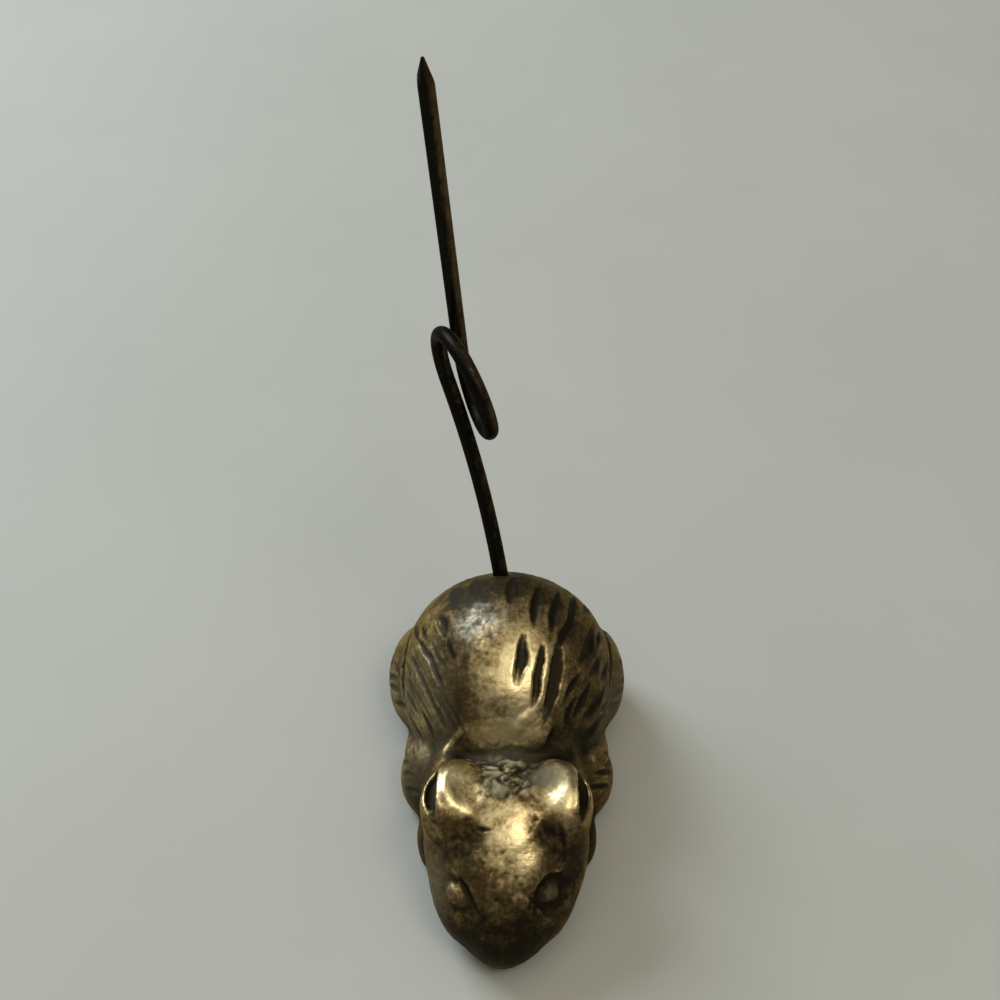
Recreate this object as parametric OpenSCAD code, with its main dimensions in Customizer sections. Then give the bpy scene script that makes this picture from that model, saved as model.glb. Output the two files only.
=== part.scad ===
// Bill spike: a cast brass mouse whose wire tail loops once and rises to a point.
// The origin is on the table under the mouse, the nose points along -Y and +Z is up.
// The casting is a set of rounded forms that melt into each other. Each form is an oval
// of a width, a length and a depth, with its top at a height above the table.

/* [Back and chest] */
// Width of the rounded back
back_w = 33; // [28:0.5:36]
// Length of the rounded back
back_l = 35; // [32:0.5:40]
// Depth of the rounded back's oval
back_t = 36.5; // [32:0.5:40]
// Height of the back above the table
back_h = 29.5; // [26:0.5:33]
// Distance of the back's middle behind the origin
back_y = 13; // [11:0.5:15]
// Width of the rump
rump_w = 33.5; // [28:0.5:36]
// Length of the rump
rump_l = 26.5; // [24:0.5:30]
// Depth of the rump's oval
rump_t = 35; // [31:0.5:38]
// Height of the rump above the table
rump_h = 28.5; // [25:0.5:32]
// Distance of the rump's middle behind the middle of the back
rump_set = 5; // [3:0.5:7]
// Width of the chest
chest_w = 25; // [22:0.5:28]
// Length of the chest
chest_l = 22; // [20:0.5:26]
// Depth of the chest's oval
chest_t = 18; // [16:0.5:22]
// Height of the neck above the table
chest_h = 16.5; // [14:0.5:18]
// Distance of the chest's middle ahead of the middle of the back
chest_set = 16; // [14:0.5:18]
// Width of the fold of skin that joins each ear to the back
fold_w = 5; // [4:0.5:7]
// Length of the fold
fold_l = 11; // [9:0.5:13]
// Depth of the fold's oval
fold_t = 10; // [8:0.5:12]
// Height of the fold above the table
fold_h = 17; // [15:0.2:19]
// Distance between the middles of the folds
fold_gap = 18; // [16:0.2:20]
// Distance of the folds' middles ahead of the middle of the chest
fold_set = 0.8; // [0:0.2:3]

/* [Head] */
// Width of the skull across the cheeks
skull_w = 24.5; // [21:0.5:27]
// Length of the skull
skull_l = 20; // [18:0.5:24]
// Depth of the skull's oval
skull_t = 20.5; // [18:0.5:23]
// Height of the skull above the table
skull_h = 21; // [19:0.5:23]
// Distance of the skull's middle ahead of the middle of the chest
skull_set = 9.5; // [8:0.5:11]
// Downward tilt of the skull
skull_tilt = 8; // [0:1:15]
// Width of the muzzle
muzzle_w = 21.5; // [18:0.5:24]
// Length of the muzzle
muzzle_l = 21; // [18:0.5:24]
// Depth of the muzzle's oval
muzzle_t = 17; // [15:0.5:19]
// Height of the muzzle above the table
muzzle_h = 16; // [14:0.5:17]
// Distance of the muzzle's middle ahead of the middle of the skull
muzzle_set = 7; // [5:0.5:9]
// Downward tilt of the muzzle
muzzle_tilt = 22; // [10:1:30]
// Width of the nose
nose_w = 6.5; // [5:0.5:8]
// Length of the nose's oval
nose_l = 7; // [5:0.5:8]
// Depth of the nose's oval
nose_t = 7; // [5:0.5:8]
// Height of the nose above the table
nose_h = 8.5; // [7:0.5:10]
// Distance of the nose's middle ahead of the middle of the muzzle
nose_set = 8.5; // [7:0.5:10]
// How far the nose leans to the left
nose_lean = 0.8; // [0:0.1:2]

/* [Ears and eyes] */
// Width of each ear
ear_w = 9.2; // [8:0.2:12]
// Length of each ear
ear_l = 13.5; // [11:0.5:15]
// Depth of each ear's oval
ear_t = 11; // [9:0.5:13]
// Height of the ears above the table
ear_h = 21.8; // [20:0.1:24]
// Distance between the middles of the ears
ear_gap = 15.6; // [14:0.2:18]
// Distance of the ears' middles behind the middle of the skull
ear_set = 1; // [-1:0.2:2]
// Length of the hollow in each ear
cup_l = 9; // [7:0.5:11]
// Width of the hollow in each ear
cup_w = 2.6; // [2:0.1:4]
// Distance of the hollow's middle inside the ear's edge
cup_inset = 1.3; // [0.5:0.1:2]
// Distance of the hollow's middle below the top of the ear
cup_drop = 1.7; // [1:0.1:3]
// Distance of the hollow's middle behind the middle of the ear
cup_set = 0.6; // [-1:0.2:2]
// Diameter of each eyeball
eye_d = 4.6; // [3.6:0.1:5.6]
// How far each eyeball stands out
eye_out = 0.7; // [0.4:0.1:1.2]
// Distance between the middles of the eyes
eye_gap = 14; // [11:0.5:16]
// Distance of the eyes ahead of the middle of the muzzle
eye_set = 5; // [2:0.5:6]
// Width of the groove round each eyeball
eye_ring = 1.3; // [0.8:0.1:1.6]
// How far that groove reaches under the eyeball
eye_under = 0.25; // [0.1:0.05:0.4]

/* [Legs] */
// Width of each haunch
haunch_w = 11.5; // [9:0.5:13]
// Length of each haunch
haunch_l = 18; // [15:0.5:21]
// Depth of each haunch's oval
haunch_t = 18; // [16:0.5:21]
// Height of each haunch above the table
haunch_h = 16; // [13:0.5:19]
// How far each haunch stands out from the back
haunch_out = 3; // [1:0.1:4]
// Distance of the haunches behind the middle of the back
haunch_set = 5.5; // [3:0.5:8]
// Forward tilt of the haunches and shoulders
leg_tilt = 13; // [0:1:20]
// Width of each shoulder
shoulder_w = 9.5; // [8:0.5:11]
// Length of each shoulder
shoulder_l = 12.5; // [10:0.5:15]
// Depth of each shoulder's oval
shoulder_t = 16; // [14:0.5:19]
// Height of each shoulder above the table
shoulder_h = 13; // [11:0.5:15]
// How far each shoulder stands out from the chest
shoulder_out = 4.3; // [3:0.1:6]
// Distance of the shoulders behind the middle of the chest
shoulder_set = 3.5; // [2:0.5:5]
// Width of each foot
foot_w = 6; // [5:0.5:8]
// Length of each foot
foot_l = 12.5; // [9:0.5:15]
// Depth of each foot's oval
foot_t = 6; // [5:0.5:8]
// Height of each foot above the table
foot_h = 4.5; // [3.5:0.5:5]
// Distance of the hind feet ahead of the haunches
hind_set = 11; // [9:0.5:13]
// Distance of the fore feet ahead of the shoulders
fore_set = 8.5; // [7:0.5:10]
// Distance of each foot's outer side inside its haunch or shoulder
foot_in = 2.8; // [1.5:0.1:4]

/* [Tail] */
// Diameter of the tail wire
wire_d = 2.4; // [1.6:0.1:3.2]
// Depth of the drilled hole that grips the wire
hole_depth = 12; // [8:0.5:14]
// Clearance of the wire in its hole, on the diameter
hole_clearance = 0.02; // [0.01:0.01:0.1]
// Distance of the hole's mouth to the left of the middle
mouth_x = 1; // [0:0.1:3]
// Distance of the hole's mouth behind the middle of the rump
mouth_set = 6.3; // [5:0.1:8]
// Lean of the wire's root from upright
root_lean = 33.5; // [20:0.5:40]
// Turn of the wire's root to the left
root_turn = 19; // [0:1:30]
// Straight length of the root above the hole
root_l = 2; // [1:0.5:6]
// Length of the bowed stretch below the loop
bow_l = 29; // [20:0.5:45]
// Angle through which that stretch bows to the left
bow_angle = 9; // [2:0.5:20]
// Straight length between the bow and the loop
neck_l = 1; // [0.5:0.5:5]
// Radius of the loop's first half, to the middle of the wire
loop_r_in = 8.1; // [6:0.1:12]
// Radius of the loop's second half, to the middle of the wire
loop_r_out = 8.3; // [6:0.1:12]
// Angle of the loop past a full turn
loop_over = 34; // [10:1:50]
// How much thinner the wire is drawn at its bends
bend_thin = 0.02; // [0.01:0.01:0.1]
// Length of the upright shaft below its point
shaft_l = 44.5; // [30:0.5:80]
// Length of the nipped point
point_l = 4; // [3:0.5:8]
// Width of the blunt end of the point
point_w = 0.4; // [0.2:0.1:0.8]

/* [Hidden] */
$fn = 48;

// Places of the forms along the mouse
rump_y = back_y + rump_set;
chest_y = back_y - chest_set;
skull_y = chest_y - skull_set;
muzzle_y = skull_y - muzzle_set;
nose_y = muzzle_y - nose_set;
haunch_x = back_w / 2 + haunch_out - haunch_w / 2;
haunch_y = back_y + haunch_set;
shoulder_x = chest_w / 2 + shoulder_out - shoulder_w / 2;
shoulder_y = chest_y + shoulder_set;
hind_x = haunch_x + haunch_w / 2 - foot_in - foot_w / 2;
fore_x = shoulder_x + shoulder_w / 2 - foot_in - foot_w / 2;
fold_x = fold_gap / 2;
fold_y = chest_y - fold_set;
fold_turn = [0, 0, 20];
ear_x = ear_gap / 2;
ear_y = skull_y + ear_set;
ear_turn = [-6, 10, 18];
cup_turn = [-6, 0, 4];
cup_step = 15;

// How softly each form melts into the ones before it
trunk_melt = 2;
chest_melt = 3;
skull_melt = 1.5;
muzzle_melt = 5;
nose_melt = 4;
limb_melt = 1.2;
fold_melt = 2.5;
ear_melt = 2;

// The rounded forms, from the back to the ears
FORMS = [
    form(0, back_y, back_h, [back_w, back_l, back_t], 0, trunk_melt),
    form(0, rump_y, rump_h, [rump_w, rump_l, rump_t], 0, trunk_melt),
    form(0, chest_y, chest_h, [chest_w, chest_l, chest_t], 0, chest_melt),
    form(0, skull_y, skull_h, [skull_w, skull_l, skull_t], skull_tilt, skull_melt),
    form(0, muzzle_y, muzzle_h, [muzzle_w, muzzle_l, muzzle_t], muzzle_tilt, muzzle_melt),
    form(0, nose_y, nose_h, [nose_w, nose_l, nose_t], 0, nose_melt),
    form(haunch_x, haunch_y, haunch_h, [haunch_w, haunch_l, haunch_t], leg_tilt, limb_melt),
    form(hind_x, haunch_y - hind_set, foot_h, [foot_w, foot_l, foot_t], 0, limb_melt),
    form(shoulder_x, shoulder_y, shoulder_h, [shoulder_w, shoulder_l, shoulder_t], leg_tilt, limb_melt),
    form(fore_x, shoulder_y - fore_set, foot_h, [foot_w, foot_l, foot_t], 0, limb_melt),
    form(fold_x, fold_y, fold_h, [fold_w, fold_l, fold_t], fold_turn, fold_melt),
    form(ear_x, ear_y, ear_h, [ear_w, ear_l, ear_t], ear_turn, ear_melt),
];

// Rotation matrix of turns about X, then Y, then Z
function turn_matrix(a) =
    let (x = a.x, y = a.y, z = a.z)
    [[cos(z) * cos(y),
      cos(z) * sin(y) * sin(x) - sin(z) * cos(x),
      cos(z) * sin(y) * cos(x) + sin(z) * sin(x)],
     [sin(z) * cos(y),
      sin(z) * sin(y) * sin(x) + cos(z) * cos(x),
      sin(z) * sin(y) * cos(x) - cos(z) * sin(x)],
     [-sin(y), cos(y) * sin(x), cos(y) * cos(x)]];

// One rounded form: its middle, the two matrices that measure it, and its melt
function form(x, y, top, size, tilt, melt) =
    let (m = turn_matrix(is_list(tilt) ? tilt : [tilt, 0, 0]), r = size / 2)
    [[x, y, top - r.z],
     [for (i = [0:2]) [m[0][i], m[1][i], m[2][i]] / r[i]],
     [for (i = [0:2]) [m[0][i], m[1][i], m[2][i]] / pow(r[i], 2)],
     melt];

// Distance of a point outside one form
function form_gap(p, f) =
    let (v = p - f[0], k = norm(f[1] * v))
    k * (k - 1) / norm(f[2] * v);

function soft_min(a, b, melt) = min(a, b) - pow(max(melt - abs(a - b), 0), 2) / (4 * melt);

// Distance of a point outside all the forms together
far = 1000;
function skin_gap(p, i = 0, gap = far) =
    i == len(FORMS) ? gap : skin_gap(p, i + 1, soft_min(gap, form_gap(p, FORMS[i]), FORMS[i][3]));

// Length of the ray from an inner point to the outermost skin, stepping in from outside
ray_start = back_h + back_l;
ray_step = 0.9;
skin_tight = 0.004;
function ray_length(from, along, t = ray_start) =
    let (p = from + t * along, gap = skin_gap([abs(p.x), p.y, p.z]))
    gap < skin_tight || t < gap ? t : ray_length(from, along, t - ray_step * gap);

function skin_point(from, along) = from + ray_length(from, along) * along;

// Height of the casting above a place on the table
function skin_height(x, y) = ray_length([x, y, 0], [0, 0, 1]);

// The head leans to the left, more and more towards the nose
function lean(p) =
    let (share = min(1, max(0, (chest_y - p.y) / (chest_y - nose_y))))
    [p.x - nose_lean * pow(share, 2), p.y, p.z];

// Rays fan out from a spine on the table: round the muzzle, along one side, round the rump
nose_rays = 12;
side_rays = 38;
rump_rays = 14;
rise_rays = 28;
half_rays = nose_rays + side_rays + rump_rays;
function spine_y(i) =
    muzzle_y + (rump_y - muzzle_y) * min(1, max(0, (i - nose_rays) / side_rays));
function ray_heading(i) =
    i < nose_rays ? 90 * (i / nose_rays - 1)
    : i > nose_rays + side_rays ? 90 * (i - nose_rays - side_rays) / rump_rays
    : 0;
function ray_along(i, k) =
    let (a = ray_heading(i), e = 90 * k / rise_rays)
    [cos(a) * cos(e), sin(a) * cos(e), sin(e)];

// Middle of each eye on the skin, and the way it faces
eye_y = muzzle_y - eye_set;
eye_seat = [eye_gap / 2, eye_y, skin_height(eye_gap / 2, eye_y)];
nudge = 0.05;
eye_slope = [for (axis = [[1, 0, 0], [0, 1, 0], [0, 0, 1]])
    skin_gap(eye_seat + nudge * axis) - skin_gap(eye_seat - nudge * axis)];
eye_face = eye_slope / norm(eye_slope);
eye_r = eye_d / 2;
eye_rim = sqrt(pow(eye_r, 2) - pow(eye_r - eye_out, 2));

// Mouth of the tail's hole in the rump, and the recipe of the loop
mouth_y = rump_y + mouth_set;
mouth = [-mouth_x, mouth_y, skin_height(mouth_x, mouth_y)];
hole_d = wire_d + hole_clearance;
hole_over = 3 * wire_d;
bend_start = -103;
bow_side = -90;
quarter_turn = 90;
loop_sets = [12.5, 4, 3.5, 10];
bow_r = bow_l * 180 / (PI * bow_angle);
lap = 0.05;

// The casting's outer form, as one skin over the fan of rays and a flat underside
module casting() {
    half = [for (i = [0:half_rays])
        [for (k = [0:rise_rays - 1]) skin_point([0, spine_y(i), 0], ray_along(i, k))]];
    ridge = [for (i = [nose_rays:nose_rays + side_rays]) [0, spine_y(i), skin_height(0, spine_y(i))]];
    other = [for (i = [half_rays - 1:-1:1]) [for (p = half[i]) [-p.x, p.y, p.z]]];
    columns = concat(half, other);
    count = len(columns);
    points = [for (column = columns) for (p = column) lean(p), for (p = ridge) lean(p)];

    function at(j, k) = (j % count) * rise_rays + k;
    function top(j) =
        let (i = j % count, side = i <= half_rays ? i : count - i)
        count * rise_rays + min(side_rays, max(0, side - nose_rays));

    underside = [for (j = [0:count - 1]) at(j, 0)];
    walls = [for (j = [0:count - 1], k = [0:rise_rays - 2])
        each [[at(j, k), at(j, k + 1), at(j + 1, k + 1)], [at(j, k), at(j + 1, k + 1), at(j + 1, k)]]];
    crown = [for (j = [0:count - 1], m = [0, 1])
        let (last = rise_rays - 1)
        if (m == 0 || top(j) != top(j + 1))
            m == 0 ? [at(j, last), top(j), at(j + 1, last)] : [top(j), top(j + 1), at(j + 1, last)]];
    polyhedron(points, concat([underside], walls, crown));
}

// Places its children at one eye, with Z along the way the eye faces
module at_eye(side) {
    face_turn = atan2(eye_face.y, eye_face.x);
    face_tilt = acos(eye_face.z);
    translate(lean([side * eye_seat.x, eye_seat.y, eye_seat.z]))
        mirror([side < 0 ? 1 : 0, 0, 0])
            rotate([0, face_tilt, face_turn])
                children();
}

// The hollow of one ear, a spindle form that opens outwards
module ear_cup(side) {
    mirror([side < 0 ? 1 : 0, 0, 0])
        translate([ear_x + ear_w / 2 - cup_inset, ear_y + cup_set, ear_h - cup_drop])
            rotate(cup_turn)
                rotate([90, 0, 0])
                    rotate_extrude()
                        polygon([for (a = [0:cup_step:180]) [cup_w / 2 * sin(a), cup_l / 2 * cos(a)]]);
}

// Places its children at the hole's mouth, with Z along the wire's root
module at_mouth() {
    translate(mouth)
        rotate([0, 0, root_turn])
            rotate([-root_lean, 0, 0])
                children();
}

// A straight stretch of wire, with what follows on its end. It laps into the bends beside it.
module run(l, before = lap, after = lap) {
    translate([0, 0, -before])
        cylinder(d = wire_d, h = before + l + after);
    translate([0, 0, l])
        children();
}

// A bend of the wire towards a new side, with what follows on its end
module bend(r, angle, side) {
    rotate([0, 0, side]) {
        translate([r, 0, 0])
            rotate([90, 0, 180])
                rotate_extrude(angle = angle)
                    translate([r, 0])
                        circle(d = wire_d - bend_thin);
        translate([r * (1 - cos(angle)), 0, r * sin(angle)])
            rotate([0, angle, 0])
                children();
    }
}

// The loop, quarter by quarter, with what follows on its end
module loop(quarter = 0) {
    if (quarter < len(loop_sets))
        bend(quarter < len(loop_sets) / 2 ? loop_r_in : loop_r_out,
             quarter_turn + (quarter == len(loop_sets) - 1 ? loop_over : 0),
             loop_sets[quarter] + (quarter == 0 ? -bow_side : 0))
            loop(quarter + 1)
                children();
    else
        children();
}

// The end of the wire, nipped on four sides to a blunt point
module point() {
    nip = atan((wire_d - point_w) / 2 / point_l);
    difference() {
        cylinder(d = wire_d, h = point_l);
        for (a = [0:90:270])
            rotate([0, 0, a])
                translate([wire_d / 2, -wire_d, 0])
                    rotate([0, -nip, 0])
                        cube([wire_d, 2 * wire_d, 2 * point_l]);
    }
}

module mouse_body() {
    color("darkgoldenrod")
        union() {
            difference() {
                casting();
                for (side = [-1, 1]) {
                    ear_cup(side);
                    at_eye(side)
                        rotate_extrude()
                            translate([eye_rim + eye_ring / 2 - eye_under, 0])
                                circle(d = eye_ring);
                }
                at_mouth()
                    translate([0, 0, -hole_depth])
                        cylinder(d = hole_d, h = hole_depth + hole_over);
            }
            for (side = [-1, 1])
                at_eye(side)
                    translate([0, 0, eye_out - eye_r])
                        sphere(d = eye_d);
        }
}

module tail_spike() {
    color("dimgray")
        at_mouth()
            translate([0, 0, -hole_depth])
                rotate([0, 0, bend_start])
                    run(hole_depth + root_l, before = 0)
                        bend(bow_r, bow_angle, bow_side)
                            run(neck_l)
                                loop()
                                    run(shaft_l, after = 0)
                                        point();
}

mouse_body();
tail_spike();
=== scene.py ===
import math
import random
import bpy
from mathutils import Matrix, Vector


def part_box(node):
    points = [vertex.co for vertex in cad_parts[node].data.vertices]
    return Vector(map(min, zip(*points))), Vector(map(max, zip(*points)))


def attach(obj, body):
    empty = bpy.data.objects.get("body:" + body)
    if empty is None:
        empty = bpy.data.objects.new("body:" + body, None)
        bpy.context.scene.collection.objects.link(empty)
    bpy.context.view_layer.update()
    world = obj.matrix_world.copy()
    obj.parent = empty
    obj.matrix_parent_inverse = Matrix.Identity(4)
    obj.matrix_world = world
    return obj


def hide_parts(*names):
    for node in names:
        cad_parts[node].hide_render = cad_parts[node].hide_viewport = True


bl_info = {
    "name": "Bill Spike with a Cast Mouse",
    "version": (1, 0, 0),
    "blender": (4, 5, 0),
    "location": "View3D > Sidebar > Bill Spike",
    "description": "Dresses the packed bill spike: an aged brass mouse and its wire tail",
    "category": "Object",
}

import bmesh
import bpy
import numpy as np
from bpy.props import FloatProperty, FloatVectorProperty, IntProperty, PointerProperty
from mathutils import Matrix, Vector, noise
from mathutils.bvhtree import BVHTree

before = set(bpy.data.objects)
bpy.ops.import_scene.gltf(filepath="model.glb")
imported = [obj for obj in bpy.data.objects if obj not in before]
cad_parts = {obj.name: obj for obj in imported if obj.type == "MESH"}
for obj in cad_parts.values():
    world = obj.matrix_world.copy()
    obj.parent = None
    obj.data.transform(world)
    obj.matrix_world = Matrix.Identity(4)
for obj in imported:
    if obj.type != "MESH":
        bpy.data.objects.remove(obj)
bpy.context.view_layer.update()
MM = 0.001

# Places on the mouse, in millimetres, as in the part's source
RUMP_Y = 18.0
SPINE_Z = 5.0
RUMP_REACH = 14.0
TAIL_MOUTH = (-1.0, 24.3, 26.54)
EYE_Z = 12.5
OUTSIDE = 90.0

# Tooled fur: places along each stroke (along the back, angle round it), width, depth
FUR_FRONT = [
    ([(9.5, 6), (6, 5.5), (3, 4)], 1.8, 0.75),
    ([(8, 13), (4, 12), (1, 12)], 1.3, 0.6),
    ([(9.5, 19.5), (5.5, 19.5), (0.5, 19)], 2.2, 0.5),
]
FUR_RIGHT = [
    ([(18.5, 12), (12.5, 10)], 1.8, 0.6),
    ([(18.5, 20), (12, 17)], 1.7, 0.55),
    ([(19.5, 29), (14.5, 25), (10, 21)], 1.7, 0.6),
    ([(16.5, 38), (13, 35), (9.5, 31)], 2.6, 0.75),
    ([(17.5, 45), (14, 42)], 1.5, 0.5),
    ([(12, 43), (8.5, 38)], 2, 0.6),
    ([(13.5, 53), (9.5, 47)], 1.7, 0.55),
    ([(8.5, 51), (5.5, 47), (3, 42)], 1.9, 0.6),
    ([(8.5, 61), (6, 55)], 1.4, 0.45),
    ([(6, 61), (3, 55), (0.5, 49)], 1.8, 0.55),
    ([(5.5, 71), (1, 59)], 1.6, 0.5),
    ([(20, 2), (16, 1)], 1.3, 0.2),
    ([(23, 26), (21.5, 27)], 1.2, 0.4),
    ([(22, 39), (19, 34)], 1.4, 0.45),
    ([(3, 32), (0.5, 32)], 1.8, 0.5),
    ([(-0.8, 25), (-2.3, 25)], 1.4, 0.35),
    ([(6.5, 31), (3, 27)], 1.7, 0.5),
    ([(6, 38), (2, 35)], 1.6, 0.5),
    ([(16, 58), (13.5, 57)], 1.3, 0.35),
]
FUR_LEFT = [
    ([(14.5, -40), (9.5, -33), (4.5, -29)], 1.2, 0.4),
    ([(12.5, -46), (7, -40), (2.5, -37), (1, -36)], 1.2, 0.34),
    ([(9.5, -58), (5, -52)], 1.3, 0.3),
    ([(4, -47), (0.5, -49)], 1.3, 0.36),
    ([(16.5, -28), (12, -24)], 1.8, 0.2),
    ([(17, -38), (13.5, -35)], 1.4, 0.2),
    ([(10.5, -53), (7, -50)], 1.1, 0.22),
    ([(2.5, -34), (0.5, -35)], 1.1, 0.3),
    ([(7, -64), (1.5, -60)], 1.3, 0.34),
    ([(21, -23), (17, -21)], 2.2, 0.06),
    ([(21.5, -13), (18, -12)], 2.2, 0.05),
    ([(19.5, -46), (15, -41)], 1.2, 0.2),
    ([(11, -23), (7.5, -21)], 1, 0.15),
]
HAUNCH_CREASES = [
    [(23, 56), (16.5, 59), (12.5, 60), (8, 65), (5.5, 66)],
    [(21, -50), (17, -55), (14.5, -59), (12, -64), (9, -70)],
]

# How the drawn strokes are cut: shares of their length, width and depth, limits of their skew
FUR_SEED = 7
STROKE_BOW = 1.2
STROKE_STEP = 0.9
MM_PER_DEGREE = 0.25
FRONT_STRETCH = 1.25
FRONT_WIDTH = 1.15
FRONT_SKEW = (0.1, 0.3)
FRONT_CUT = {"lip": 0.05, "flat": 0.3, "blur": 0.3, "stain": 0.95, "dust": 0.08}
RIGHT_STRETCH = 1.35
RIGHT_DEPTH = 0.8
RIGHT_SKEW = (0.1, 0.4)
RIGHT_CUT = {"lip": 0.08, "flat": 0.2, "blur": 0.8}
LEFT_STRETCH = 1.15
LEFT_WIDTH = 0.85
LEFT_CUT = {"lip": 0.25, "skew": 0.4, "stain": 0.85}
CREASE_CUT = {"width": 1.6, "depth": 0.45, "lip": 0.3, "stain": 0.6}

# Rows of strokes over the rump, in millimetres and degrees, with limits of what is drawn
ROW_COUNT = 3
ROW_HALF = 4
ROW_START = 23.5
ROW_STEP = 5.2
ROW_TURN = 14
ROW_LIMIT = 64
ROW_JITTER = 1.2
ROW_WOBBLE = 3
ROW_TUCK = 0.96
ROW_LENGTH = (4, 7)
ROW_WIDTH = (1.1, 1.9)
ROW_DEPTH = (0.25, 0.5)
ROW_SKEW = (0.0, 0.4)
ROW_CUT = {"lip": 0.1, "flat": 0.2, "blur": 0.7, "stain": 0.8}
TAIL_CLEAR = 3.5

# Nicks on the legs: count, first place, step, jitter, length, end angle, wobble, width, depth
LEG_ROWS = [
    (6, 25.0, 3.0, 0.5, 4.0, 70, 3, 1.1, 0.30),
    (4, 3.2, 2.1, 0.4, 2.4, 68, 4, 0.9, 0.28),
]
LEG_ANGLE = 80
LEG_STAIN = 0.7

# Faint scratches on the left flank: limits of what is drawn
SCRATCH_COUNT = 12
SCRATCH_ALONG = (3, 20)
SCRATCH_ANGLE = (-74, -28)
SCRATCH_LENGTH = (5, 9)
SCRATCH_SLOPE = 1.1
SCRATCH_WIDTH = (0.6, 1.0)
SCRATCH_DEPTH = (0.05, 0.10)
SCRATCH_CUT = {"lip": 0.9, "stain": 0.2}

# Shape of a groove, in shares of its depth, width and half width
TAPER_LENGTH = 1.8
TAPER_LEAST = 0.03
TAPER_POWER = 0.8
TIP_WIDTH = 0.3
TIP_STAIN = 0.2
WANDER = 0.14
SOFT_SIDE = 0.4
LIP_PLACE = 1.5
LIP_REACH = 0.7
FAR_LIP = 0.4
STAIN_FADE = 0.3

# Shape of an oval socket, in shares of its half sizes, and the depth of skin it acts on
SOCKET_EDGE = 1.1
SOCKET_STAIN = 1.25
SOCKET_SLOPE = 0.3
SOCKET_BAND = 2.5
DOME_SHARE = 0.62
DOME_POWER = 0.7
DOME_CLEAN = 0.7

# Eyes: middle, direction of the long way, half length, half width, depth, dome, stain, dust
EYES = [
    ((6.5, -24.5), math.radians(52), 3.2, 2.3, 0.50, 0.55, 0.9, 0.22),
    ((-7.8, -24.8), math.radians(118), 4.2, 1.8, 0.10, 0.15, 0.1, 0.1),
]
EYE_REACH = 4.5
EYE_PASSES = 30

# Fullness of the cheeks and jaw: middle, reach, height
CHEEK_FORMS = [
    ((7.5, -26, 6), (5, 6, 6), 0.4),
    ((3.6, -29.5, 5), (4, 4, 5), 0.35),
    ((11.5, -19, 8), (5, 8, 7), 0.25),
    ((-8.5, -25.5, 6), (5, 6, 6), 0.2),
]

# Hollows before the ears and ridges of the brow: place, reach, height
BROW_FORMS = [
    (-5.6, -18.6, 3.2, -0.45),
    (5.8, -18.2, 2.6, -0.35),
    (-3.6, -22.5, 3, 0.2),
    (3.6, -22.5, 3.6, 0.25),
    (0, -19, 4.5, 0.1),
    (9.4, -21, 3, -0.3),
    (-9.8, -20.5, 3, -0.3),
]

# Creases of the left eye, the forehead and the neck: places, width, depth, lip, stain
HEAD_CREASES = [
    ([(-7, -22.6), (-5.9, -24.5), (-4.3, -26.8)], 0.9, 0.35, 0.15, 1),
    ([(-4.8, -17.4), (-3.6, -18.1), (-2.2, -18.2)], 0.8, 0.25, 0.2, 0.7),
    ([(5.8, -17.6), (6.6, -18.4)], 1.7, 0.35, 0.3, 1),
    ([(7.6, -17.2), (8.2, -19)], 1.4, 0.2, 0.2, 0.8),
    ([(-9, -4), (-4, -4.4), (0, -4.5), (4, -4.4), (9, -4)], 3.6, 0.25, 0, 0.3),
]

# Ridges behind the neck and round the left ear's pad: places, width, height, painted highlight
HEAD_RIDGES = [
    ([(-10.3, -3.7), (-9.3, -2.6), (-8.4, -1.7), (-7.4, -1.1), (-6.5, -0.8)], 1.4, 0.22, 0.4),
    ([(4.6, 0.4), (3.4, -0.3), (2.2, -1.2), (1, -2.2), (0.6, -2.7)], 2.2, 0.25, 1),
    ([(-4.4, -0.9), (-1.8, -1.2), (0.7, -1.2)], 1.3, 0.12, 0),
    ([(-9.4, -11), (-9, -12.4), (-8.6, -13.6), (-7.6, -14.7), (-6.2, -15.2), (-4.8, -15.4)],
     2.2, 0.2, 0.5),
]

# Painted shade along the left edge of the smooth panel on the back, where the lamp's reflection on the
# panel ends
PANEL_EDGE = [(-5.9, 11), (-5.9, 8), (-5.9, 5), (-6, 2), (-6.3, 0.3)]
PANEL_FADE = 4
PANEL_SHADE = 0.45
SHADE_EDGE = 0.8

# Ears: a line inside them, places along it, slopes towards the hollow and its rims
EAR_X = 7
EAR_Z = 16.5
EAR_MIDDLE = -12.3
EAR_PLACES = (-8, -10, -12, -14, -16)
HOLLOW_SLOPE = 0.72
INNER_RIM = 1.4
OUTER_RIM = 0.32

# Mouth line: places along it
LIP_PLACES = ((-29.4, 4.8), (-26, 4.2), (-22, 4), (-18, 4.4))

# Noise on the casting: size of its features in millimetres, seed, amount
CAST_GRAIN = [(3.4, 1, 0.08), (1.3, 5, 0.035), (0.7, 3, 0.022)]
NECK_GRAIN = [(1.3, 9, 0.4), (0.5, 21, 0.25)]
MOTTLE_GRAIN = [(1.5, 31, 1), (0.7, 37, 0.9)]
PIT_GRAIN = (1, 13)
GROOVE_GRIT = (0.9, 17)
PIT_LEVEL = 0.42
PIT_DEPTH = 0.3
PIT_STAIN = 0.6
CLOD_SEED = 3
CLOD_SIZE = 2.8
CLOD_SHARE = 0.8
CLOD_BEND = 0.6
CLOD_CREASE = 1.6

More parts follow.
